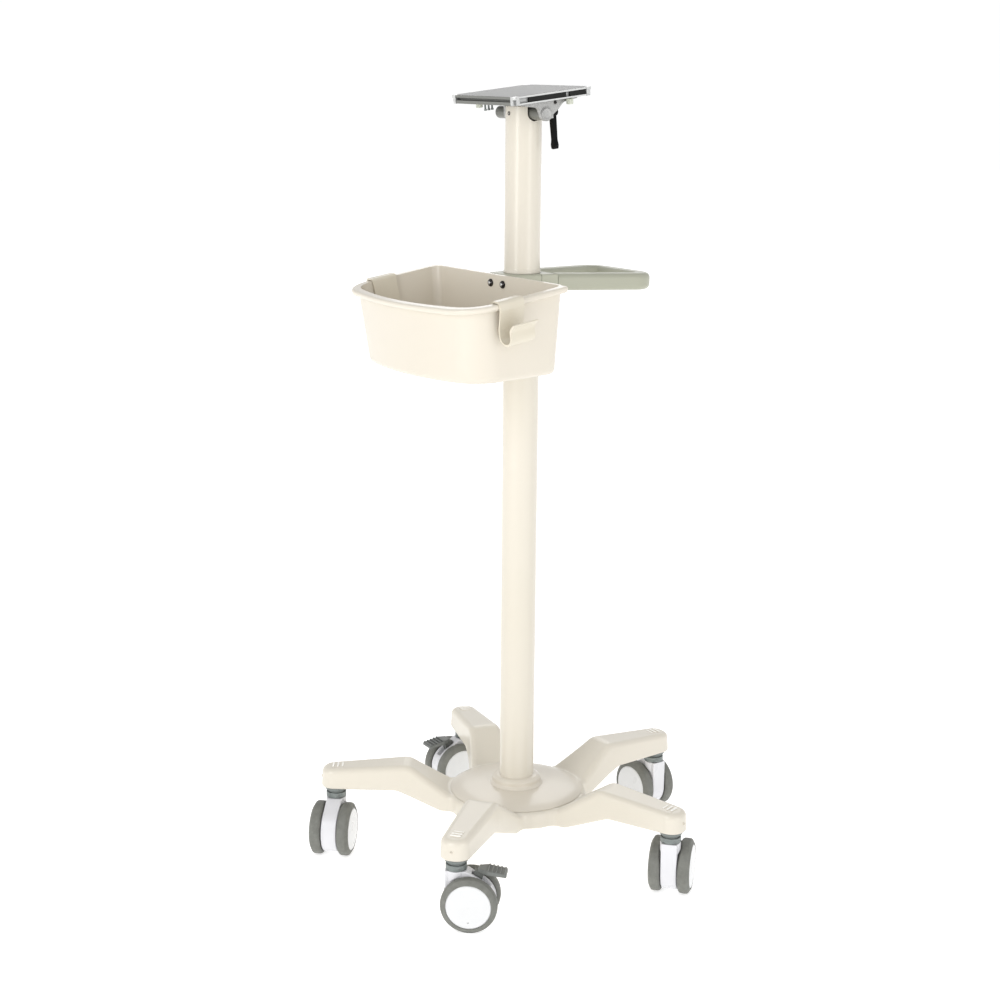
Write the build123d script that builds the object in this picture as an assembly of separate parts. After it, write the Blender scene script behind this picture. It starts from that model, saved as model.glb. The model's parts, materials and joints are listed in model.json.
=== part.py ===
from build123d import *
import math
import os

# Roll stand for a bedside medical monitor or scanner: a five-leg cast base on twin-wheel
# casters, a column, a push handle, a storage basket and a tilting top plate.
# The parts are drawn about the column axis, +X to the stand's right, -Y to its front
# (basket side), +Z up, and moved at export so that the origin is on the floor under the
# middle of the whole stand.

# ---- driving dimensions (mm, degrees) ----
COLUMN_Y = -10.7  # column axis in the exported frame
RIDE_HEIGHT = -4.0  # moves all that stands on the casters up or down

LEG_ANGLES = (18, 90, 162, 234, 306)
TRAIL_ANGLES = (130, 180, 265, 315, 48)  # way each caster trails, same order
BRAKED = (2, 4)  # which casters carry a brake pedal
STEM_RADIUS = 256.0
LEG_END_RADIUS = 278.0
HUB_RADIUS = 97.0

WHEEL_R = 37.5
WHEEL_TRAIL = 19.0
CAP_R = 30.0
WHEEL_IN = 11.6
WHEEL_OUT = 28.0
HOUSING_HALF = 11.0
HOUSING_R = 33.0
HOUSING_LOW = 9.0
PEDAL_PIN = (27.0, 63.0)
AXLE_R = 4.0
STEM_R = 5.5
RUNNING_FIT = 0.05

COLUMN_R = 24.0
COLUMN_WALL = 2.5
COLUMN_SPLIT_Z = 830.0
COLUMN_TOP_Z = 1047.5

HUB_TOP_Z = 829.7
HUB_BOTTOM_Z = 806.9
HANDLE_HALF = 33.2  # half width of hub and handle at the column axis
HANDLE_FLARE = 0.229  # how fast that half width grows towards the rear
HANDLE_BAR = 22.5
HANDLE_END_Y = 182.0
HANDLE_DROP = 1.95
GRIP_START_Y = 30.6

BASKET_BACK_Y = -38.0
BASKET_WALL = 3.0
BASKET_LIP = 8.0
RIM_Z = 829.0  # at the back; the rim slopes down to the front
RIM_SLOPE = 8.5
RIM_HALF = 144.0
RIM_DEPTH = 162.0  # in the middle of the bowed front
RIM_SIDE_DEPTH = 140.0
FLOOR_Z = 714.0  # underside, at the back
FLOOR_SLOPE = 2.0
FLOOR_HALF = 132.0
FLOOR_DEPTH = 152.0
FLOOR_SIDE_DEPTH = 126.0

HOOK_T = 2.4
HOOK_W = 37.0
HOOK_Y = -92.5  # along the rim, from the back of the basket

PIVOT_Z = 1037.7
BARREL_R = 8.3
PLATE_W = 138.0
PLATE_D = 124.0
PLATE_T = 11.0
PLATE_TILT = 6.2
PLATE_MID = (0.0, -4.5, 1061.0)

LEVER_X = 33.0
LEVER_LENGTH = 48.0


def turned(points, axis=Axis.Z):
    """Solid of revolution of a closed (radius, height) outline about Z."""
    outline = make_face(Polyline(*[(r, 0, z) for r, z in points], close=True))
    return revolve(outline, axis)


def rod(radius, start, end):
    """Round bar between two points."""
    start, end = Vector(*start), Vector(*end)
    plane = Plane(origin=start, z_dir=end - start)
    return extrude(plane * Circle(radius), (end - start).length)


def block(x, y, z):
    """Box from three (low, high) pairs."""
    size = [high - low for low, high in (x, y, z)]
    centre = [(high + low) / 2 for low, high in (x, y, z)]
    return Pos(*centre) * Box(*size)


def soften(solid, edges, radius):
    """Round the edges, at a smaller radius where the full one doesn't fit."""
    for r in (radius, radius * 0.7, radius * 0.45):
        try:
            rounded = fillet(edges, r)
            if rounded.is_valid:
                return rounded
        except Exception:
            continue
    print("not rounded:", radius)
    return solid


parts = {}


# ---- base casting ----
def base_plan():
    """Plan outline of the hub disc and its five legs, wide at the hub and round at the tip."""
    rim_mid = (100.8 * math.cos(math.radians(36)), 100.8 * math.sin(math.radians(36)), 45)
    side = [rim_mid, (90.3, 39.5, 12), (149, 27.5, 90), (LEG_END_RADIUS, 21.3, 20.5)]
    corners = [(r, -w, f) for r, w, f in side[1:]] + [(r, w, f) for r, w, f in reversed(side)]
    outline = []
    radii = []
    for angle in LEG_ANGLES:
        for x, y, radius in corners:
            point = Vector(x, y, 0).rotate(Axis.Z, angle)
            outline.append((point.X, point.Y))
            radii.append(radius)
    return make_face(FilletPolyline(*outline, radius=radii, close=True))


def base_casting():
    plan = base_plan()
    walls = extrude(Pos(0, 0, 74) * plan, 70, taper=3.5)
    # The height profile is the same along every leg, so it is turned about the column.
    with BuildSketch(Plane.XZ) as profile:
        with BuildLine():
            Polyline(
                (20, 75),
                (112, 75),
                (171, 100),
                (300, 100),
                (300, 125.6),
                (152, 136.5),
                (97, 98.5),
                (20, 98.5),
                close=True,
            )
        make_face()
        knee = [v for v in profile.vertices() if 140 < v.X < 180]
        fillet(knee, 22)
        root = [v for v in profile.vertices() if 90 < v.X < 115]
        fillet(root, 9)
    body = walls & revolve(profile.sketch, Axis.Z)
    crown = [e for e in body.edges() if leg_crest(e)]
    body = soften(body, crown, 8)
    under = [e for e in body.edges() if leg_sole(e)]
    body = soften(body, under, 2.5)
    body -= Pos(0, 0, 100) * Cylinder(COLUMN_R, 60)
    for angle in LEG_ANGLES:
        turn = Rot(0, 0, angle)
        body -= turn * rod(STEM_R, (STEM_RADIUS, 0, 95), (STEM_RADIUS, 0, 118))
        body -= turn * rod(1.8, (LEG_END_RADIUS - 12, 0, 113), (LEG_END_RADIUS + 5, 0, 113))
        for step in (-6.5, 0, 6.5):
            rib = Pos(STEM_RADIUS - 3 + step, 0, 127.6) * Box(2.8, 15, 5.6)
            rib = fillet(rib.edges().filter_by(Axis.Z), 1.3)
            rib = fillet(rib.faces().sort_by(Axis.Z)[-1].edges(), 0.9)
            body += turn * rib
    for angle, radius in ((319, 8.5), (270, 6.0)):
        knob = rod(radius, (86, 0, 70), (86, 0, 76))
        knob = fillet(knob.faces().sort_by(Axis.Z)[0].edges(), 1.5)
        body += Rot(0, 0, angle) * knob
    return body


def leg_crest(edge):
    """True for the upper outline edges of the legs and rim."""
    middle = edge @ 0.5
    radius = math.hypot(middle.X, middle.Y)
    box = edge.bounding_box()
    flat_ring = box.max.Z - box.min.Z < 0.01 and radius < HUB_RADIUS - 8
    upright = box.max.Z - box.min.Z > 8 and abs(edge.tangent_at(0.5).Z) > 0.9
    across = abs((edge @ 0).X**2 + (edge @ 0).Y**2 - (edge @ 1).X**2 - (edge @ 1).Y**2) < 1
    crease = across and 90 < radius < 175
    return middle.Z > 97 and radius > 80 and not (flat_ring or upright or crease) and top_side(edge)


def top_side(edge):
    middle = edge @ 0.5
    radius = math.hypot(middle.X, middle.Y)
    floor = 80 if radius < 120 else 105
    return middle.Z > floor


def leg_sole(edge):
    """True for the lower outline edges of the outer legs."""
    middle = edge @ 0.5
    radius = math.hypot(middle.X, middle.Y)
    return radius > 180 and abs(middle.Z - 100) < 0.5


parts["base_casting"] = base_casting()

dome = make_face(
    [
        Spline((93.4, 99.3), (86, 102.2), (70, 105.0), (50, 106.6), (33, 107.0)),
        Polyline((33, 107.0), (25, 107.0), (25, 98.8), (93.4, 98.8), (93.4, 99.3)),
    ]
)
parts["base_cover"] = revolve(Rot(90, 0, 0) * dome, Axis.Z)
collar = turned(
    [(COLUMN_R + 0.1, 107.05), (37.5, 107.05), (34.2, 110.5), (33.8, 116.5), (29, 119.2),
     (COLUMN_R + 0.1, 120)]
)
rings = [e for e in collar.edges().filter_by(GeomType.CIRCLE) if 28 < e.radius < 35]
parts["column_collar"] = soften(collar, rings, 2.6)

tip_screws = [
    Rot(0, 0, angle) * rod(1.75, (LEG_END_RADIUS - 11, 0, 113), (LEG_END_RADIUS - 1.2, 0, 113))
    for angle in LEG_ANGLES
]
socket = RegularPolygon(1.0, 6)
parts["leg_set_screws"] = Compound(
    [
        s - Rot(0, 0, a) * extrude(Plane(origin=(LEG_END_RADIUS, 0, 113), z_dir=(-1, 0, 0)) * socket, 3)
        for s, a in zip(tip_screws, LEG_ANGLES)
    ]
)


# ---- column ----
SPIGOT_R = COLUMN_R - COLUMN_WALL - 0.05
lower = rod(COLUMN_R - 0.02, (0, 0, 78), (0, 0, COLUMN_SPLIT_Z))
lower -= rod(COLUMN_R - COLUMN_WALL, (0, 0, 70), (0, 0, COLUMN_SPLIT_Z + 5))
CLAMP_SCREW_X = 9.0
CLAMP_SCREW_Z = 818.0
for x in (-CLAMP_SCREW_X, CLAMP_SCREW_X):
    lower -= rod(3.05, (x, 15, CLAMP_SCREW_Z), (x, 30, CLAMP_SCREW_Z))
parts["lower_column"] = lower

upper = turned(
    [(18.5, 780), (SPIGOT_R, 780), (SPIGOT_R, COLUMN_SPLIT_Z), (COLUMN_R + 0.7, COLUMN_SPLIT_Z),
     (COLUMN_R + 0.7, 833), (COLUMN_R, 834), (COLUMN_R, COLUMN_TOP_Z - 1.2),
     (COLUMN_R - 1.2, COLUMN_TOP_Z), (COLUMN_R - 3.5, COLUMN_TOP_Z), (COLUMN_R - 3.5, 836),
     (18.5, 830)]
)
upper -= rod(BARREL_R, (-40, 0, PIVOT_Z), (6, 0, PIVOT_Z))
upper -= rod(BARREL_R + 1.6, (5, 0, PIVOT_Z), (40, 0, PIVOT_Z))
upper -= block((5, 40), (-BARREL_R - 1.6, BARREL_R + 1.6), (PIVOT_Z, 1060))
for x in (-CLAMP_SCREW_X, CLAMP_SCREW_X):
    upper -= rod(3.05, (x, 15, CLAMP_SCREW_Z), (x, 30, CLAMP_SCREW_Z))
parts["upper_column"] = upper


# ---- push handle ----
def handle_edge(y):
    """Half width of the hub and handle at a distance y behind the column axis."""
    return HANDLE_HALF + HANDLE_FLARE * y


def handle_band(front, rear):
    """Flat outline of the hub and handle between two distances from the column."""
    w0, w1 = handle_edge(front), handle_edge(rear)
    return make_face(Polyline((-w0, front), (w0, front), (w1, rear), (-w1, rear), close=True))


HUB_HEIGHT = HUB_TOP_Z - HUB_BOTTOM_Z
COLUMN_BORE = Pos(0, 0, 800) * Cylinder(COLUMN_R, 100)
GRIP_INSIDE = HANDLE_FLARE * GRIP_START_Y + HANDLE_HALF - HANDLE_BAR

hub = extrude(Pos(0, 0, HUB_BOTTOM_Z) * handle_band(BASKET_BACK_Y, 6.6), HUB_HEIGHT)
hub = soften(hub, hub.edges().filter_by(Axis.Z).group_by(Axis.Y)[0], 4)
hub = soften(hub, hub.faces().sort_by(Axis.Z)[-1].edges().filter_by(lambda e: (e @ 0.5).Y < 5), 3)
hub -= COLUMN_BORE
BASKET_SCREW_X = 13.5
BASKET_SCREW_Z = 817.0
for x in (-BASKET_SCREW_X, BASKET_SCREW_X):
    hub -= rod(3, (x, -50, BASKET_SCREW_Z), (x, -26.5, BASKET_SCREW_Z))
parts["handle_hub"] = hub

bracket = extrude(Pos(0, 0, HUB_BOTTOM_Z) * handle_band(7.2, 30), HUB_HEIGHT)
SPIGOT = 11.0
for side in (-1, 1):
    lean = -side * math.degrees(math.atan(HANDLE_FLARE))
    at = side * (handle_edge(30) - HANDLE_BAR / 2)
    bracket += Pos(at, 30, CLAMP_SCREW_Z) * Rot(0, 0, lean) * Pos(0, 4, 0) * Box(SPIGOT, 16, SPIGOT)
bracket = soften(bracket, bracket.faces().sort_by(Axis.Z)[-1].edges(), 2.2)
bracket -= COLUMN_BORE
for x in (-CLAMP_SCREW_X, CLAMP_SCREW_X):
    bracket -= rod(3.05, (x, 15, CLAMP_SCREW_Z), (x, 40, CLAMP_SCREW_Z))
parts["handle_bracket"] = bracket

outer_r, inner_r = 30.0, 10.0
w0, w1 = handle_edge(GRIP_START_Y), handle_edge(HANDLE_END_Y)
outer = FilletPolyline(
    (-w0, GRIP_START_Y), (-w1, HANDLE_END_Y), (w1, HANDLE_END_Y), (w0, GRIP_START_Y), radius=outer_r
)
inner_y = HANDLE_END_Y - HANDLE_BAR
v0, v1 = w0 - HANDLE_BAR, handle_edge(inner_y) - HANDLE_BAR
inner = FilletPolyline(
    (-v0, GRIP_START_Y), (-v1, inner_y), (v1, inner_y), (v0, GRIP_START_Y), radius=inner_r
)
ends = [
    Line((-w0, GRIP_START_Y), (-v0, GRIP_START_Y)),
    Line((w0, GRIP_START_Y), (v0, GRIP_START_Y)),
]
loop_face = make_face(outer.edges() + inner.edges() + ends)
loop = extrude(Pos(0, 0, HUB_BOTTOM_Z) * loop_face, HUB_HEIGHT)
top_and_bottom = [
    e for e in loop.edges() if abs((e @ 0).Z - (e @ 1).Z) < 0.01 and (e @ 0.5).Y > GRIP_START_Y + 1
]
loop = soften(loop, top_and_bottom, 7.5)
drop = Pos(0, GRIP_START_Y, CLAMP_SCREW_Z) * Rot(-HANDLE_DROP, 0, 0) * Pos(0, -GRIP_START_Y, -CLAMP_SCREW_Z)
loop = drop * loop
loop &= block((-200, 200), (GRIP_START_Y, 300), (700, 900))
for side in (-1, 1):
    lean = -side * math.degrees(math.atan(HANDLE_FLARE))
    at = side * (handle_edge(30) - HANDLE_BAR / 2)
    pocket = Box(SPIGOT + 0.2, 16.6, SPIGOT + 0.2)
    loop -= Pos(at, 30, CLAMP_SCREW_Z) * Rot(0, 0, lean) * Pos(0, 4, 0) * pocket
parts["handle_loop"] = loop


def button_screw(tip, direction, length, radius=3.0):
    """Button-head screw with its head's flat underside at the point and a hex socket."""
    head = turned(
        [(0, 0), (5.2, 0), (5.2, 0.8), (4.4, 2.2), (2.9, 3.1), (0, 3.3)]
    )
    head -= Pos(0, 0, 1.3) * extrude(RegularPolygon(2.3, 6), 4)
    screw = head + Pos(0, 0, -length / 2) * Cylinder(radius - 0.02, length)
    return Plane(origin=tip, z_dir=direction) * screw


screws = [
    button_screw((x, BASKET_BACK_Y - BASKET_WALL - 0.27, BASKET_SCREW_Z), (0, -1, 0), 11)
    for x in (-BASKET_SCREW_X, BASKET_SCREW_X)
]
screws += [
    button_screw((x, 30, CLAMP_SCREW_Z), (0, 1, 0), 11) for x in (-CLAMP_SCREW_X, CLAMP_SCREW_X)
]
parts["hub_screws"] = Compound(screws)


# ---- basket, with a sloping rim over a floor that is nearly level ----
def basket_plan(half, side_depth, depth, corner, grow=0.0, back=0.0, back_corner=14.0):
    """Outline of the basket, straight at the back and bowed at the front."""
    w = half + grow
    side_y = -side_depth - grow
    sides = [Line((w, side_y), (w, back)), Line((w, back), (-w, back)), Line((-w, back), (-w, side_y))]
    front = ThreePointArc((-w, side_y), (0, -depth - grow), (w, side_y))
    plan = make_face([front] + sides)
    plan = fillet(plan.vertices().group_by(Axis.Y)[0], corner + grow)
    return fillet(plan.vertices().group_by(Axis.Y)[-1], back_corner)


def rim_plan(*change):
    return basket_plan(RIM_HALF, RIM_SIDE_DEPTH, RIM_DEPTH, 44, *change)


def floor_plan(*change):
    return basket_plan(FLOOR_HALF, FLOOR_SIDE_DEPTH, FLOOR_DEPTH, 50, *change)


place_rim = Pos(0, BASKET_BACK_Y, RIM_Z) * Rot(RIM_SLOPE, 0, 0)
place_floor = Pos(0, BASKET_BACK_Y, FLOOR_Z) * Rot(FLOOR_SLOPE, 0, 0)
shell = loft([place_floor * floor_plan(), place_rim * rim_plan()], ruled=True)
shell = soften(shell, shell.faces().sort_by(Axis.Z)[0].edges(), 8)
hollow = loft(
    [
        place_floor * Pos(0, 0, BASKET_WALL) * floor_plan(-BASKET_WALL, -BASKET_WALL, 11),
        place_rim * Pos(0, 0, 2) * rim_plan(-BASKET_WALL, -BASKET_WALL, 11),
    ],
    ruled=True,
)
hollow = soften(hollow, hollow.faces().sort_by(Axis.Z)[0].edges(), 5.5)
band = extrude(rim_plan(BASKET_LIP, 0, 6), -8)
band = soften(band, band.faces().sort_by(Axis.Z)[-1].edges(), 3)
band = soften(band, band.faces().sort_by(Axis.Z)[0].edges(), 4.4)
basket = shell + place_rim * band - hollow
basket &= block((-200, 200), (-300, BASKET_BACK_Y), (600, 900))
for x in (-BASKET_SCREW_X, BASKET_SCREW_X):
    basket -= rod(3.3, (x, -60, BASKET_SCREW_Z), (x, 0, BASKET_SCREW_Z))
parts["basket"] = basket


def hook(side):
    """Bent strip hung over a side rim: short leg inside, long leg and J outside."""
    half = HOOK_T / 2
    inside = RIM_HALF - BASKET_WALL - 1.3 - half
    outside = RIM_HALF + BASKET_LIP + 0.35 + half
    top = 1.0 + half
    lean = (RIM_HALF - FLOOR_HALF) / (RIM_Z - FLOOR_Z)
    line = FilletPolyline(
        (inside - 37 * lean, -36),
        (inside, top),
        (outside, top),
        (outside, -8),
        (outside - 7, -33),
        (outside - 7, -51),
        (outside + 16, -51),
        (outside + 16, -31),
        (outside + 25, -24),
        radius=[3, 4.4, 10, 10, 10.5, 10.5, 9],
    )
    strip = make_face(offset(line, HOOK_T / 2, side=Side.BOTH).edges())
    solid = extrude(Plane.XZ * strip, HOOK_W / 2, both=True)
    solid = Pos(0, HOOK_Y, 0) * solid
    if side < 0:
        solid = mirror(solid, Plane.YZ)
    return place_rim * solid


parts["hook_right"] = hook(1)
parts["hook_left"] = hook(-1)


# ---- casters, drawn with the stem at the origin, trailing along +X, axle along Y ----
def on_housing(angle):
    """Point on the round edge of the housing, at an angle from the trailing direction."""
    a = math.radians(angle)
    return (WHEEL_TRAIL + HOUSING_R * math.cos(a), WHEEL_R + HOUSING_R * math.sin(a))


def caster_housing(braked):
    """White fork body between the wheels, with the stem bore and the axle hole."""
    cut = math.degrees(math.asin((WHEEL_R - HOUSING_LOW) / HOUSING_R))
    low_front, low_rear = on_housing(180 + cut), on_housing(-cut)
    upper_rear = on_housing(62)
    outline = [
        ThreePointArc(low_front, on_housing(180 + cut / 2), on_housing(180)),
        Polyline(on_housing(180), (-14, 79), (14, 79), upper_rear),
        ThreePointArc(upper_rear, on_housing(31 - cut / 2), low_rear),
        Line(low_rear, low_front),
    ]
    body = extrude(Plane.XZ * make_face(outline), HOUSING_HALF, both=True)
    sides = [
        e for e in body.edges() if abs((e @ 0.5).Y) > HOUSING_HALF - 0.01 and (e @ 0.5).Z < 78.9
    ]
    body = fillet(sides, 1.6)
    neck = Pos(0, 0, 66) * Cylinder(14, 26)
    body += fillet(neck.faces().sort_by(Axis.Z)[-1].edges(), 1)
    for side in (-1, 1):
        inner = (WHEEL_TRAIL, side * (HOUSING_HALF + 0.2), WHEEL_R)
        body -= rod(WHEEL_R + 0.8, inner, (WHEEL_TRAIL, side * 20, WHEEL_R))
    body -= rod(STEM_R + RUNNING_FIT, (0, 0, 50), (0, 0, 90))
    body -= rod(AXLE_R, (WHEEL_TRAIL, -20, WHEEL_R), (WHEEL_TRAIL, 20, WHEEL_R))
    if braked:
        body -= block((20.5, 60), (-5, 5), (57, 90))
        body -= rod(2 + RUNNING_FIT, (PEDAL_PIN[0], -8, PEDAL_PIN[1]), (PEDAL_PIN[0], 8, PEDAL_PIN[1]))
    return body


def brake_pedal():
    """Ribbed foot pedal on a lug that turns in the housing on two moulded pins."""
    lug = Plane.XZ * make_face(
        FilletPolyline(
            (22.5, 59), (31.5, 59), (36, 72), (36, 79), (24, 79), (22.5, 72), radius=1.5, close=True
        )
    )
    pedal = extrude(lug, 4.6, both=True)
    pedal += rod(2, (PEDAL_PIN[0], -7.6, PEDAL_PIN[1]), (PEDAL_PIN[0], 7.6, PEDAL_PIN[1]))
    blade = make_face(
        FilletPolyline(
            (28, 79), (30.5, 83), (40, 82.3), (66, 78), (67, 73.5), (44, 75.8), (34, 77),
            radius=1.2, close=True,
        )
    )
    blade = extrude(Plane.XZ * blade, 12, both=True)
    blade = soften(blade, [e for e in blade.edges() if abs(abs((e @ 0.5).Y) - 12) < 0.01], 1)
    plan = make_face(
        FilletPolyline((25, -6), (33, -7.5), (42, -12), (70, -12), (70, 12), (42, 12), (33, 7.5),
                       (25, 6), radius=3, close=True)
    )
    blade &= extrude(Pos(0, 0, 60) * plan, 40)
    pedal += blade
    slope = math.degrees(math.atan2(4.5, 26))
    for i in range(5):
        along = 43 + 5.2 * i
        height = 82.2 - (along - 40) * 4.5 / 26
        rib = Pos(along, 0, height) * Rot(0, slope, 0) * Box(2.4, 23, 3.4)
        pedal += soften(rib, rib.faces().sort_by(Axis.Z)[-1].edges(), 1)
    return pedal


def wheel_shape(outline, side):
    """Turn a (radius, distance from the caster's middle plane) outline about the axle."""
    solid = turned(outline)
    solid = Rot(90 * -side, 0, 0) * solid
    return Pos(WHEEL_TRAIL, 0, WHEEL_R) * solid


BORE = AXLE_R + RUNNING_FIT
WHEEL_OUTLINE = [
    (BORE, WHEEL_IN), (9, WHEEL_IN), (9, 22.5), (26.5, 22.5), (26.5, 12.4), (30, 12.4), (30, 27.2),
    (28.6, 28.2), (22, 28.9), (12, 29.4), (0, 29.6), (0, 26.2), (BORE, 26.2),
]
TYRE_OUTLINE = [
    (30, WHEEL_IN + 0.6), (33.5, WHEEL_IN + 0.2), (36.2, 13.2), (37.3, 15), (WHEEL_R, 18),
    (WHEEL_R, 22), (37.2, 24), (36.4, 25.2), (31.6, 28.0), (30, 28.2),
]

for number, (angle, trail) in enumerate(zip(LEG_ANGLES, TRAIL_ANGLES), start=1):
    stem_x = STEM_RADIUS * math.cos(math.radians(angle))
    stem_y = STEM_RADIUS * math.sin(math.radians(angle))
    place = Pos(stem_x, stem_y, 0) * Rot(0, 0, trail)
    name = f"caster_{number}"
    stem = rod(STEM_R, (0, 0, 50.4), (0, 0, 113.6)) + rod(14, (0, 0, 79.4), (0, 0, 87.2))
    stem = fillet(stem.edges().filter_by(GeomType.CIRCLE).filter_by(lambda e: e.radius > 13), 0.8)
    stem += rod(12, (0, 0, 87), (0, 0, 91.6)) + rod(15.5, (0, 0, 91.6), (0, 0, 95.95))
    parts[name + "_stem"] = place * stem
    parts[name + "_housing"] = place * caster_housing(number - 1 in BRAKED)
    ends = (WHEEL_TRAIL, -26, WHEEL_R), (WHEEL_TRAIL, 26, WHEEL_R)
    parts[name + "_axle"] = place * chamfer(rod(AXLE_R, *ends).edges().filter_by(GeomType.CIRCLE), 0.6)
    for word, side in (("left", 1), ("right", -1)):
        parts[f"{name}_wheel_{word}"] = place * wheel_shape(WHEEL_OUTLINE, side)
        parts[f"{name}_tyre_{word}"] = place * wheel_shape(TYRE_OUTLINE, side)
    if number - 1 in BRAKED:
        parts[name + "_pedal"] = place * brake_pedal()


# ---- tilt head: barrel through the column top, bracket and plate turning on it ----
barrel = rod(BARREL_R, (-53, 0, PIVOT_Z), (44, 0, PIVOT_Z)) + rod(5, (44, 0, PIVOT_Z), (48, 0, PIVOT_Z))
barrel = soften(barrel, barrel.faces().sort_by(Axis.X)[0].edges(), 1.5)
parts["tilt_barrel"] = barrel


def on_plate(solid):
    """Move a shape drawn under a level plate, whose middle is at the origin, to its tilt."""
    return Pos(*PLATE_MID) * Rot(PLATE_TILT, 0, 0) * solid


W, D, T = PLATE_W / 2, PLATE_D / 2, PLATE_T / 2
CORNER = 8.0
plate = Box(PLATE_W, PLATE_D, PLATE_T)
for side in (-1, 1):
    plate -= Pos(0, side * D, 0.4) * Box(200, 7, 3.6)
    plate -= Pos(0, side * (D - 3.5), 0.4) * Box(200, 3, 6)
    plate -= Pos(side * W, 0, -0.3) * Box(7, 200, 6.6)
    for end in (-1, 1):
        plate -= Pos(side * W, end * D, 0) * Box(2 * CORNER, 2 * CORNER, 20)
plate = soften(plate, plate.faces().sort_by(Axis.Z)[-1].edges(), 0.5)
for x, y in ((-56.0, -28.6), (56.0, 35.8)):
    plate -= rod(2.0 + RUNNING_FIT, (x, y, -10), (x, y, 1))
parts["plate"] = on_plate(plate)

strips = []
for side in (-1, 1):
    for low, high in ((-38.5, 21.5), (27.5, 52.5)):
        strip = block((W - 3.4, W - 0.6), (low, high), (-3.5, 2.9))
        strip = fillet(strip.faces().sort_by(Axis.X)[-1].edges(), 0.6)
        strips.append(strip if side > 0 else Rot(0, 0, 180) * Pos(0, -14, 0) * strip)
parts["side_strips"] = Compound([on_plate(s) for s in strips])

clamps = []
for sx in (-1, 1):
    for sy in (-1, 1):
        clamp = block((W - CORNER + 0.05, W + 0.4), (D - CORNER + 0.05, D + 0.4), (-T - 0.3, T - 0.2))
        clamp -= block((W - 3, W + 5), (D - 3, D + 5), (-T - 2, 1.5))
        clamp = fillet(clamp.edges().filter_by(Axis.Z).sort_by(lambda e: -(e @ 0).X - (e @ 0).Y)[0:1], 2)
        clamp = clamp if sx > 0 else mirror(clamp, Plane.YZ)
        clamps.append(clamp if sy > 0 else mirror(clamp, Plane.XZ))
parts["corner_clamps"] = Compound([on_plate(c) for c in clamps])

# The bracket is drawn about the barrel's axis, in the plate's tilted direction.
AXIS_Y = -PLATE_MID[1]
AXIS_Z = PIVOT_Z - PLATE_MID[2]
slope = math.radians(PLATE_TILT)
PIVOT = (
    AXIS_Y * math.cos(slope) + AXIS_Z * math.sin(slope),
    -AXIS_Y * math.sin(slope) + AXIS_Z * math.cos(slope),
)
py, pz = PIVOT
under = -T
cheek = make_face(
    FilletPolyline(
        (-36, under), (54, under), (54, under - 3.5), (31, under - 6), (22, under - 14),
        (py, pz - 9), (py - 9, pz), (-10, under - 9), (-36, under - 3.5),
        radius=[0.5, 0.5, 1, 6, 3, 8.6, 8, 6, 1], close=True,
    )
)
bracket = extrude(Plane.YZ.offset(44) * cheek, 5)
bracket += rod(9, (44.05, py, pz), (49.6, py, pz))
web = block((-30, 48.9), (-36, 50), (under - 3, under))
web = soften(web, web.edges().filter_by(Axis.Z), 4)
bracket += web - block((-25.5, 26.5), (py - 31, py + 31), (-40, 0))
ring = block((-29.6, -25.6), (py - 10.5, py + 10.5), (pz, under)) + rod(11, (-29.6, py, pz), (-25.6, py, pz))
bracket += ring
bracket += block((27, 43.8), (py + 9, py + 15), (pz - 7, under))
bracket -= rod(BARREL_R + RUNNING_FIT, (-31, py, pz), (43.99, py, pz))
bracket -= rod(5 + RUNNING_FIT, (40, py, pz), (48.2, py, pz))
bracket -= rod(3.05, (LEVER_X, py, pz), (LEVER_X, py + 30, pz))
parts["tilt_bracket"] = on_plate(bracket)

pins = []
for y in (-23.5, -18.0, -12.5):
    pin = rod(1.3, (-50, y, under - 11.5), (-50, y, under)) + rod(1.9, (-50, y, under - 13.5), (-50, y, under - 11.5))
    pins.append(on_plate(pin))
parts["clamp_screws"] = Compound(pins)


def thumb_knob(x, y):
    """Small round knob with finger flutes, on a stud in the underside of the plate."""
    knob = rod(4.6, (x, y, under - 9.2), (x, y, under - 1.6))
    knob = fillet(knob.edges().filter_by(GeomType.CIRCLE), 0.9)
    for i in range(6):
        flute = math.radians(60 * i)
        fx, fy = x + 5.6 * math.cos(flute), y + 5.6 * math.sin(flute)
        knob -= rod(1.5, (fx, fy, under - 12), (fx, fy, under + 1))
    knob += rod(2.0, (x, y, under - 2), (x, y, 0.4))
    return on_plate(knob)


parts["thumb_knob_left"] = thumb_knob(-56.0, -28.6)
parts["thumb_knob_right"] = thumb_knob(56.0, 35.8)


# ---- tilt clamp lever, hanging behind the barrel ----
stud = rod(3, (LEVER_X, py + BARREL_R + 0.3, pz), (LEVER_X, py + 24, pz))
parts["lever_stud"] = on_plate(stud)
LEVER_AT = Vector(*(on_plate(Pos(LEVER_X, py + 22, pz) * Sphere(1))).center())
boss = rod(5.4, (0, -6, 0), (0, 6, 0))
boss = fillet(boss.edges().filter_by(GeomType.CIRCLE), 1.2)
arm = Plane.XZ * make_face(
    FilletPolyline(
        (-3.8, 2), (3.8, 2), (3.2, -20), (2.7, -LEVER_LENGTH + 12), (4.4, -LEVER_LENGTH + 5),
        (3.2, -LEVER_LENGTH), (-3.2, -LEVER_LENGTH), (-4.4, -LEVER_LENGTH + 5),
        (-2.7, -LEVER_LENGTH + 12), (-3.2, -20),
        radius=[1, 1, 20, 8, 2.4, 2, 2, 2.4, 8, 20], close=True,
    )
)
lever = boss + extrude(arm, 3.3, both=True)
lever -= rod(3, (0, -10, 0), (0, 2, 0))
parts["clamp_lever"] = Pos(*LEVER_AT) * Rot(PLATE_TILT, 0, 0) * lever


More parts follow.
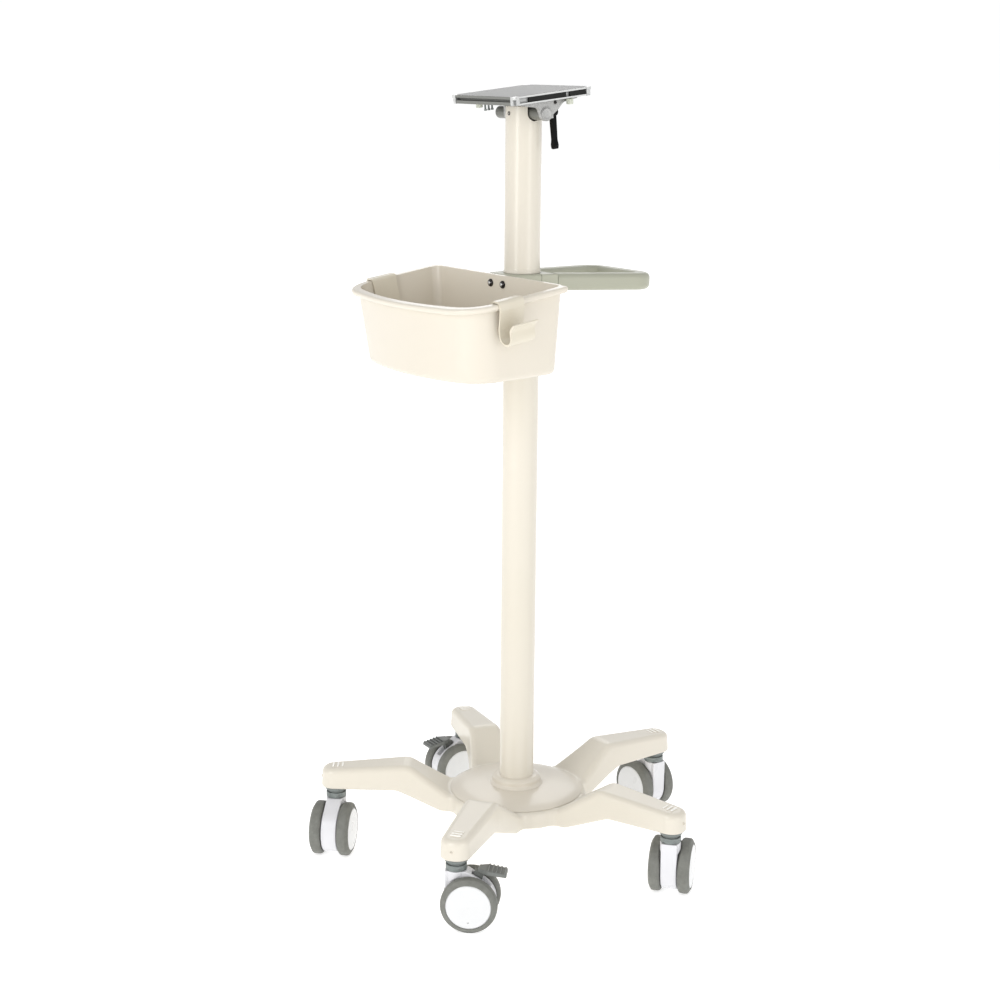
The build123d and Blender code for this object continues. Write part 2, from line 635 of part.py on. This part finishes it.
# ---- export ----
os.makedirs("parts", exist_ok=True)
for name, shape in parts.items():
    lift = 0 if name.startswith("caster") else RIDE_HEIGHT
    export_step(Pos(0, COLUMN_Y, lift) * shape, f"parts/{name}.step")
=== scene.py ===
import json
import math

import bmesh
import bpy
from mathutils import Matrix, Vector


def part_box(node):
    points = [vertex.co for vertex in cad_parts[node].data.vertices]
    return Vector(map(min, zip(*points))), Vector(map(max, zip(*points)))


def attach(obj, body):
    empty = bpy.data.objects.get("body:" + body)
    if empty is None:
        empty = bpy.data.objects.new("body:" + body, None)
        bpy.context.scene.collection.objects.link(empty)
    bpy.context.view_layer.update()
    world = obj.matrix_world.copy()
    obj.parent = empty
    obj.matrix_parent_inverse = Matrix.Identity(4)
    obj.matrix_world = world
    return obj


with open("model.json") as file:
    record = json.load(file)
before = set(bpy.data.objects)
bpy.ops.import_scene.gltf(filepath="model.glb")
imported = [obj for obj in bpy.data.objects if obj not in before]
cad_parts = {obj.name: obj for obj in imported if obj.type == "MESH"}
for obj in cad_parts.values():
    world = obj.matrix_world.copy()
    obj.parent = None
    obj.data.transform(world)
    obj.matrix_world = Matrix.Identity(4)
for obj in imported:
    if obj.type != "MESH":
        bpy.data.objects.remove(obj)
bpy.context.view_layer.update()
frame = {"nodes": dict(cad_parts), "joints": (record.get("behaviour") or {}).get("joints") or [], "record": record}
NODES = frame["nodes"]
COLUMN_Y = -0.0107  # the column axis in the model's frame
RIDE_HEIGHT = -0.004  # of all that stands on the casters, as in the CAD


# ---------- camera ----------
CAMERA_AT = (2.016783, -1.495854 + COLUMN_Y, 1.109706 + RIDE_HEIGHT)
CAMERA_RIGHT = (0.585512, 0.810619, 0.008481)
CAMERA_UP = (-0.191001, 0.127778, 0.973238)
CAMERA_AHEAD = (-0.787842, 0.571462, -0.229645)
SENSOR_MM = 36.0
LENS_MM = 67.706


def make_camera():
    data = bpy.data.cameras.new("view")
    data.sensor_width = SENSOR_MM
    data.lens = LENS_MM
    data.clip_start, data.clip_end = 0.05, 60
    cam = bpy.data.objects.new("view", data)
    bpy.context.collection.objects.link(cam)
    rows = (Vector(CAMERA_RIGHT), Vector(CAMERA_UP), -Vector(CAMERA_AHEAD))
    turn = Matrix(rows).transposed().to_4x4()
    cam.matrix_world = Matrix.Translation(CAMERA_AT) @ turn
    bpy.context.scene.camera = cam


make_camera()


# ---------- materials ----------
LIT = 0.8  # dims the colours below, which are given as seen, because the studio light is brighter than 1
LEG_SLOPE = 0.0736  # fall of the tops of the legs towards their tips
RIB_LEVEL = 0.1441  # height, carried back to the axis, above which only the ribs on the tips reach
LEGS_FROM = 0.20  # distance from the axis past which there are only legs


def linear(rgb):
    """A 0-255 colour as seen, to a linear surface colour."""
    out = [c / 255 / 12.92 if c / 255 <= 0.04045 else ((c / 255 + 0.055) / 1.055) ** 2.4 for c in rgb]
    return (*(LIT * c for c in out), 1.0)


class Mat:
    """A Principled material with a small set of procedural layers, in object coordinates."""

    def __init__(self, name, rough=0.4, metal=0.0, coat=0.0, coat_rough=0.1, spec=0.5):
        self.m = bpy.data.materials.new(name)
        self.m.use_nodes = True
        self.t = self.m.node_tree
        self.p = self.t.nodes["Principled BSDF"]
        self.p.inputs["Roughness"].default_value = rough
        self.p.inputs["Metallic"].default_value = metal
        self.p.inputs["Coat Weight"].default_value = coat
        self.p.inputs["Coat Roughness"].default_value = coat_rough
        self.p.inputs["Specular IOR Level"].default_value = spec
        self.coord = self.t.nodes.new("ShaderNodeTexCoord").outputs["Object"]
        self.height = None

    def node(self, kind, **values):
        n = self.t.nodes.new(kind)
        for key, value in values.items():
            setattr(n, key, value)
        return n

    def link(self, a, b):
        self.t.links.new(a, b)

    def scaled(self, scale):
        n = self.node("ShaderNodeMapping")
        n.inputs["Scale"].default_value = scale if isinstance(scale, tuple) else (scale,) * 3
        self.link(self.coord, n.inputs["Vector"])
        return n.outputs["Vector"]

    def noise(self, scale, detail=3.0, rough=0.5, stretch=None):
        """Noise from 0 to 1 with this many features per metre; stretch scales each axis."""
        n = self.node("ShaderNodeTexNoise")
        n.inputs["Scale"].default_value = scale
        n.inputs["Detail"].default_value = detail
        n.inputs["Roughness"].default_value = rough
        self.link(self.scaled(stretch) if stretch else self.coord, n.inputs["Vector"])
        return n.outputs["Fac"]

    def ramp(self, fac, low, high, a=0.0, b=1.0):
        """Maps fac from low..high to a..b."""
        n = self.node("ShaderNodeMapRange")
        n.inputs["From Min"].default_value, n.inputs["From Max"].default_value = low, high
        n.inputs["To Min"].default_value, n.inputs["To Max"].default_value = a, b
        self.link(fac, n.inputs["Value"])
        return n.outputs["Result"]

    def colours(self, fac, *stops):
        """Colour ramp through (position, display colour) stops, into the base colour."""
        n = self.node("ShaderNodeValToRGB")
        ramp = n.color_ramp
        while len(ramp.elements) < len(stops):
            ramp.elements.new(0.5)
        for e, (at, rgb) in zip(ramp.elements, stops):
            e.position, e.color = at, linear(rgb)
        self.link(fac, n.inputs["Fac"])
        self.link(n.outputs["Color"], self.p.inputs["Base Color"])
        return n.outputs["Color"]

    def mix(self, fac, a, rgb):
        """Mixes a plain display colour over colour a by fac, into the base colour."""
        n = self.node("ShaderNodeMix", data_type="RGBA")
        self.link(fac, n.inputs["Factor"])
        self.link(a, n.inputs["A"])
        n.inputs["B"].default_value = linear(rgb)
        self.link(n.outputs["Result"], self.p.inputs["Base Color"])
        return n.outputs["Result"]

    def roughness(self, fac, a, b):
        self.link(self.ramp(fac, 0.3, 0.7, a, b), self.p.inputs["Roughness"])

    def bump(self, fac, strength, distance):
        n = self.node("ShaderNodeBump")
        n.inputs["Strength"].default_value = strength
        n.inputs["Distance"].default_value = distance
        self.link(fac, n.inputs["Height"])
        if self.height:
            self.link(self.height, n.inputs["Normal"])
        self.height = n.outputs["Normal"]
        self.link(self.height, self.p.inputs["Normal"])

    def cavity(self, radius, a=0.5, b=1.0):
        """0 on open surface to 1 deep in corners."""
        n = self.node("ShaderNodeAmbientOcclusion", samples=6)
        n.inputs["Distance"].default_value = radius
        return self.ramp(n.outputs["AO"], a, b, 1.0, 0.0)


def coat(name, tones, rough, grain, depth, coat_weight=0.25, corner_shade=None, spec=0.5, highlight_painter=None):
    """Powder coat or moulded plastic: slow colour drift, fine grain, painted shade darkening corners and seams,
    optional painted highlights.
    """
    m = Mat(name, rough=rough, coat=coat_weight, coat_rough=0.14, spec=spec)
    drift = m.noise(4, 2, 0.4)
    base = m.colours(drift, (0.3, tones[0]), (0.5, tones[1]), (0.7, tones[2]))
    if corner_shade:
        # painted shade: darkens the colour in corners and seams, where shade falls
        m.mix(m.ramp(m.cavity(0.005), 0.0, 1.0, 0.0, 0.6), base, corner_shade)
    # optionally paints highlights into the colour
    if highlight_painter:
        highlight_painter(m, base)
    m.roughness(m.noise(40, 2), rough - 0.015, rough + 0.02)
    m.bump(m.noise(grain, 1, 0.3), 0.05, depth)
    return m.m


def metal(name, tones, rough, lines=None, speckle=None, metallic=0.9):
    """Metal with drawn or turned lines (an axis stretch) or a cast speckle, and painted shade in its corners."""
    m = Mat(name, rough=rough, metal=metallic)
    if speckle:
        spots = m.noise(speckle, 5, 0.75)
        base = m.colours(spots, (0.34, tones[0]), (0.5, tones[1]), (0.62, tones[2]))
        m.bump(spots, 0.5, 0.00025)
        m.roughness(spots, rough + 0.1, rough - 0.06)
    else:
        grain = m.noise(1.0, 3, 0.6, lines)
        base = m.colours(grain, (0.3, tones[0]), (0.5, tones[1]), (0.7, tones[2]))
        m.bump(grain, 0.3, 0.00001)
        m.roughness(grain, rough + 0.06, rough - 0.06)
    # painted shade: darkens corners and recesses, where shade falls
    m.mix(m.ramp(m.cavity(0.004), 0.0, 1.0, 0.0, 0.5), base, (60, 60, 58))
    return m.m


def paint_rib_highlights(m, base):
    """Paints highlights on the raised ribs on the leg tips, whitening them; the ribs alone stand above the sloping
    tops of the legs.
    """
    split = m.node("ShaderNodeSeparateXYZ")
    m.link(m.coord, split.inputs[0])
    flat = m.node("ShaderNodeVectorMath", operation="MULTIPLY_ADD")
    m.link(m.coord, flat.inputs[0])
    flat.inputs[1].default_value = (1, 1, 0)
    flat.inputs[2].default_value = (0, -COLUMN_Y, 0)
    radius = m.node("ShaderNodeVectorMath", operation="LENGTH")
    m.link(flat.outputs["Vector"], radius.inputs[0])
    level = m.node("ShaderNodeMath", operation="MULTIPLY_ADD")
    m.link(radius.outputs["Value"], level.inputs[0])
    level.inputs[1].default_value = LEG_SLOPE
    m.link(split.outputs["Z"], level.inputs[2])
    rib_highlight = m.node("ShaderNodeMath", operation="MULTIPLY")
    m.link(m.ramp(level.outputs[0], RIB_LEVEL, RIB_LEVEL + 0.0003), rib_highlight.inputs[0])
    m.link(m.ramp(radius.outputs["Value"], LEGS_FROM, LEGS_FROM + 0.01), rib_highlight.inputs[1])
    # painted highlight: the raised ribs whitened for the light they catch
    m.mix(rib_highlight.outputs[0], base, (274, 272, 266))  # above 255 to make up for LIT


IVORY = coat(
    "ivory_coat",
    ((239, 232, 216), (241, 234, 219), (243, 236, 222)),
    0.3,
    520,
    0.00003,
    highlight_painter=paint_rib_highlights,
)
IVORY_PLASTIC = coat(
    "ivory_plastic", ((238, 230, 214), (240, 232, 217), (242, 235, 220)), 0.3, 2400, 0.00001, 0.3
)
IVORY_SHEET = coat("ivory_sheet", ((234, 225, 206), (236, 228, 209), (239, 231, 213)), 0.32, 600, 0.00003)
GRIP = coat(
    "grey_grip",
    ((180, 181, 162), (184, 185, 166), (188, 189, 171)),
    0.4,
    2600,
    0.00004,
    0.1,
    (104, 106, 92),
)
WHITE = coat(
    "caster_white", ((240, 240, 244), (244, 244, 248), (248, 248, 251)), 0.28, 1800, 0.00001, 0.3
)
CAP = coat(
    "cap_white", ((240, 241, 243), (244, 245, 246), (247, 248, 249)), 0.28, 1500, 0.00001, 0.3
)
PEDAL = coat(
    "pedal_grey", ((112, 115, 113), (120, 123, 120), (127, 130, 126)), 0.42, 2200, 0.00004, 0.05, (50, 52, 50)
)
BARREL = coat(
    "barrel_grey", ((112, 113, 106), (120, 121, 114), (128, 129, 122)), 0.3, 900, 0.00004, 0.2, (52, 52, 48)
)
KNOB = coat(
    "knob_white",
    ((228, 232, 214), (233, 237, 221), (238, 241, 227)),
    0.35,
    1500,
    0.00002,
    0.2,
    (170, 174, 156),
)
LEVER = coat("lever_black", ((8, 8, 9), (11, 11, 12), (15, 15, 16)), 0.42, 2200, 0.00004, 0.0, spec=0.1)
STRIP = coat("strip_black", ((16, 17, 16), (24, 25, 23), (34, 35, 32)), 0.3, 1800, 0.00003, 0.0, spec=0.25)
ZINC = metal(
    "zinc_steel", ((128, 136, 134), (140, 147, 145), (151, 157, 155)), 0.4, (40, 40, 900), metallic=0.4
)
SCREW = metal("black_screw", ((52, 50, 50), (66, 64, 64), (84, 82, 82)), 0.2, (900, 60, 900))
AXLE = metal("axle_steel", ((150, 152, 154), (168, 170, 172), (186, 188, 190)), 0.25, (60, 60, 900))
CAST = metal(
    "cast_silver", ((146, 146, 145), (196, 196, 194), (226, 226, 224)), 0.42, speckle=900, metallic=0.4
)
CORNER = metal(
    "corner_silver", ((200, 201, 200), (220, 221, 220), (236, 237, 236)), 0.28, (300, 300, 300), metallic=0.5
)


def plate_material():
    """Anodised extrusion: rolled grey top; ribbed front and back that look darker through painted shade, a tone
    chosen by which way the faces point; bright milled ends; painted shade in the corners.
    """
    m = Mat("plate_grey", rough=0.42, metal=0.1, spec=0.35)
    rolled = m.noise(1.0, 3, 0.6, (6, 1400, 1400))
    top = m.colours(rolled, (0.3, (108, 108, 108)), (0.5, (113, 113, 112)), (0.7, (118, 118, 117)))
    facing = m.node("ShaderNodeSeparateXYZ")
    m.link(m.node("ShaderNodeNewGeometry").outputs["Normal"], facing.inputs[0])
    away = m.node("ShaderNodeMath", operation="ABSOLUTE")
    m.link(facing.outputs["Y"], away.inputs[0])
    across = m.node("ShaderNodeMath", operation="ABSOLUTE")
    m.link(facing.outputs["X"], across.inputs[0])
    ribs = m.noise(1.0, 2, 0.5, (3, 3, 1500))
    dark = m.ramp(ribs, 0.35, 0.65, 0.72, 0.98)
    # painted shade: the front and back faces take their own tone by which way they face
    facing_shade_mask = m.node("ShaderNodeMath", operation="MULTIPLY")
    m.link(m.ramp(away.outputs[0], 0.5, 0.9), facing_shade_mask.inputs[0])
    m.link(dark, facing_shade_mask.inputs[1])
    facing_shade = m.mix(facing_shade_mask.outputs[0], top, (136, 137, 132))
    ends = m.mix(m.ramp(across.outputs[0], 0.6, 0.95), facing_shade, (226, 227, 226))
    # painted shade: darkens the corners and recesses
    m.mix(m.ramp(m.cavity(0.004), 0.0, 1.0, 0.0, 0.55), ends, (48, 48, 46))
    m.roughness(rolled, 0.46, 0.36)
    m.bump(rolled, 0.3, 0.00001)
    return m.m


PLATE = plate_material()


def tyre_material():
    """Grey rubber: matt, with fine grain, faint paler dust on the tread and painted shade darkening its creases.
    """
    m = Mat("tyre_grey", rough=0.62, spec=0.35)
    wear = m.noise(70, 5, 0.65)
    base = m.colours(wear, (0.3, (120, 121, 115)), (0.5, (130, 131, 125)), (0.7, (140, 141, 135)))
    dust = m.ramp(m.noise(260, 4, 0.7), 0.56, 0.74, 0.0, 0.35)
    dusty = m.mix(dust, base, (156, 156, 149))
    # painted shade: darkens the creases and recesses
    m.mix(m.ramp(m.cavity(0.004), 0.0, 1.0, 0.0, 0.6), dusty, (62, 63, 58))
    m.roughness(m.noise(180, 3), 0.54, 0.7)
    m.bump(m.noise(1600, 3, 0.6), 0.35, 0.00006)
    return m.m


TYRE = tyre_material()

LOOKS = {
    "ivory_coat": IVORY, "ivory_plastic": IVORY_PLASTIC, "ivory_sheet": IVORY_SHEET, "grey_grip": GRIP,
    "zinc_steel": ZINC, "black_screw": SCREW, "axle_steel": AXLE, "caster_white": WHITE,
    "cap_white": CAP, "tyre_grey": TYRE, "pedal_grey": PEDAL, "barrel_grey": BARREL,
    "cast_silver": CAST, "plate_grey": PLATE, "corner_silver": CORNER, "strip_black": STRIP,
    "lever_black": LEVER, "knob_white": KNOB,
}


def dress_nodes():
    """Gives every CAD node the detailed material of its record slot."""
    slots = {s["node"]: s["material_slot"] for s in frame["record"]["subparts"]}
    for name, obj in NODES.items():
        for slot in obj.material_slots:
            slot.material = LOOKS[slots[name]]


dress_nodes()


# ---------- small pieces the CAD leaves out ----------
# The first six are in mm, the rest in metres.
COLUMN_R = 24.0
BASKET_SCREW_X, BASKET_SCREW_Z = 13.5, 817
PIVOT_Z = 1037.7
SET_SCREW_Z = 1037.5
CHEEK_X = 49.0  # outer face of the tilt bracket's right cheek
CAP_FACE = 0.02885  # from the middle of an axle to the outer face of a wheel cover
MARK_DROP = 0.0205  # of the moulding mark below the axle
PIN_HEIGHT = 0.0835
COLLAR_R = 0.014
GLINT_WAY = (0.95, -0.31, 0)


def place(x, y, z):
    """A point measured from the column axis, in mm at the CAD's drawing height, in the model's frame."""
    return Vector((x / 1000, y / 1000 + COLUMN_Y, z / 1000 + RIDE_HEIGHT))


def lathe(name, outline, at, axis, body, slot, steps=40):
    """A turned piece: (radius, height) outline in mm, from the outside bottom to the middle of the top."""
    turn = Vector(axis).to_track_quat("Z", "Y").to_matrix()
    bm = bmesh.new()
    rings = []
    for r, h in outline:
        if r == 0:
            rings.append([bm.verts.new(at + turn @ Vector((0, 0, h / 1000)))])
            continue
        ring = []
        for i in range(steps):
            a = 2 * math.pi * i / steps
            ring.append(bm.verts.new(at + turn @ Vector((r * math.cos(a), r * math.sin(a), h)) / 1000))
        rings.append(ring)
    for low, high in zip(rings, rings[1:]):
        for i in range(steps):
            j = (i + 1) % steps
            corners = [low[i], low[j], high[j], high[i]] if len(high) > 1 else [low[i], low[j], high[0]]
            bm.faces.new(corners)
    mesh = bpy.data.meshes.new(name)
    bm.normal_update()
    bm.to_mesh(mesh)
    bm.free()
    mesh.shade_smooth()
    piece = bpy.data.objects.new(name, mesh)
    bpy.context.collection.objects.link(piece)
    mesh.materials.append(LOOKS[slot])
    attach(piece, body)
    return piece


def add_details():
    """Screws, end cap and domes, the domes pale silver as a painted highlight, then the moulding mark and the
    glint peg of each caster.
    """
    dish = [(2.6, -0.4), (2.6, 0.25), (2.2, 0.5), (1.5, 0.5), (1.2, 0.2), (1.1, -0.3), (0, -0.35)]
    lathe("column_set_screw", dish, place(0, -COLUMN_R, SET_SCREW_Z), (0, -1, 0), "stand", "black_screw")
    rim = [(7.9, -0.3), (7.9, 0.35), (7.5, 0.7), (6.9, 0.7), (6.5, 0.3), (3, 0.25), (0, 0.25)]
    lathe("pivot_end_cap", rim, place(CHEEK_X + 0.75, 0, PIVOT_Z), (1, 0, 0), "head", "cast_silver")
    head = [(2.3, -0.3), (2.3, 0.5), (1.8, 1.0), (1.2, 1.15), (1.0, 0.5), (0, 0.4)]
    lathe("cheek_screw", head, place(CHEEK_X, 14.0, PIVOT_Z + 14.8), (1, 0, 0), "head", "black_screw")
    # the domed heads are real; their pale silver colour is a painted highlight for the glint on the chrome heads
    dome = [(2.9, -0.6), (2.8, 0.5), (2.3, 1.2), (1.3, 1.75), (0, 1.9)]
    for side, x in (("left", -BASKET_SCREW_X), ("right", BASKET_SCREW_X)):
        at = place(x, -43.2, BASKET_SCREW_Z)
        lathe(f"basket_screw_dome_{side}", dome, at, (0, -1, 0), "stand", "corner_silver", 24)
    for number in range(1, 6):
        add_caster_details(number)


def middle_of(node):
    """The middle of a CAD node's box."""
    low, high = (Vector(c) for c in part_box(node))
    return (low + high) / 2


def add_caster_details(number):
    """A moulding mark on each wheel cover, and a small steel peg on each stem collar, turned the same way on every
    caster: a painted highlight for the glint on the collars.
    """
    mark = [(1.5, -0.6), (1.4, 0.12), (1.0, 0.2), (0.7, -0.1), (0, -0.15)]
    axle = middle_of(f"caster_{number}_axle")
    for side in ("left", "right"):
        joint = next(j for j in frame["joints"] if j["name"] == f"wheel_{number}_{side}_spin")
        axis = Vector(joint["axis"]).normalized()
        wheel = middle_of(f"caster_{number}_wheel_{side}")
        out = axis if (wheel - axle).dot(axis) > 0 else -axis
        at = axle + out * CAP_FACE + Vector((0, 0, -MARK_DROP))
        lathe(f"cap_mark_{number}_{side}", mark, at, out, f"wheel_{number}_{side}", "tyre_grey", 20)
    stem = middle_of(f"caster_{number}_stem")
    # painted highlight: a bright steel peg set where the collars show a glint, turned the same way on every caster
    way = Vector(GLINT_WAY)
    glint_pin_outline = [(1.0, -0.6), (1.0, 0.1), (0.6, 0.35), (0, 0.4)]
    at = Vector((stem.x, stem.y, PIN_HEIGHT)) + way * COLLAR_R
    lathe(f"collar_glint_pin_{number}", glint_pin_outline, at, way, "stand", "axle_steel", 16)


add_details()


# ---------- stage ----------
STAND_MIDDLE = (0, 0, 0.6)
FLOOR_HALF = 14
FLOOR_GLOW = 0.62


def make_stage():
    """A wide white floor that glows a little, so that it fades into the background."""
    mesh = bpy.data.meshes.new("floor")
    bm = bmesh.new()
    bmesh.ops.create_grid(bm, x_segments=4, y_segments=4, size=FLOOR_HALF)
    bm.to_mesh(mesh)
    bm.free()
    floor = bpy.data.objects.new("floor", mesh)
    bpy.context.collection.objects.link(floor)
    m = Mat("floor_white", rough=0.75, spec=0.2)
    m.colours(m.noise(3, 3), (0.3, (250, 250, 249)), (0.7, (254, 254, 253)))
    m.p.inputs["Emission Color"].default_value = (1, 1, 1, 1)
    m.p.inputs["Emission Strength"].default_value = FLOOR_GLOW
    mesh.materials.append(m.m)


def area(name, at, size, power, tint=(1, 1, 1)):
    """A rectangular lamp turned to the middle of the stand."""
    data = bpy.data.lights.new(name, "AREA")
    data.shape = "RECTANGLE"
    data.size, data.size_y = size
    data.energy = power
    data.color = tint
    light = bpy.data.objects.new(name, data)
    light.location = at
    light.rotation_mode = "QUATERNION"
    light.rotation_quaternion = (Vector(STAND_MIDDLE) - Vector(at)).to_track_quat("-Z", "Y")
    bpy.context.collection.objects.link(light)


make_stage()
area("key", (0.7, -2.8, 1.5), (0.9, 2.2), 28, (1.0, 0.995, 0.985))
area("side", (2.9, 0.3, 1.3), (0.8, 2.0), 12)
area("back", (-2.2, 1.8, 2.0), (1.4, 1.6), 9)


def make_world():
    """White at and below the horizon, softer overhead."""
    world = bpy.data.worlds.new("studio")
    world.use_nodes = True
    tree = world.node_tree
    height = tree.nodes.new("ShaderNodeSeparateXYZ")
    tree.links.new(tree.nodes.new("ShaderNodeTexCoord").outputs["Generated"], height.inputs[0])
    fade = tree.nodes.new("ShaderNodeMapRange")
    fade.inputs["From Min"].default_value, fade.inputs["From Max"].default_value = 0.06, 0.35
    fade.inputs["To Min"].default_value, fade.inputs["To Max"].default_value = 1.02, 0.71
    tree.links.new(height.outputs["Z"], fade.inputs["Value"])
    sky = tree.nodes["Background"]
    sky.inputs["Color"].default_value = (1, 1, 1, 1)
    tree.links.new(fade.outputs["Result"], sky.inputs["Strength"])
    bpy.context.scene.world = world
    bpy.context.scene.view_settings.view_transform = "Standard"


make_world()
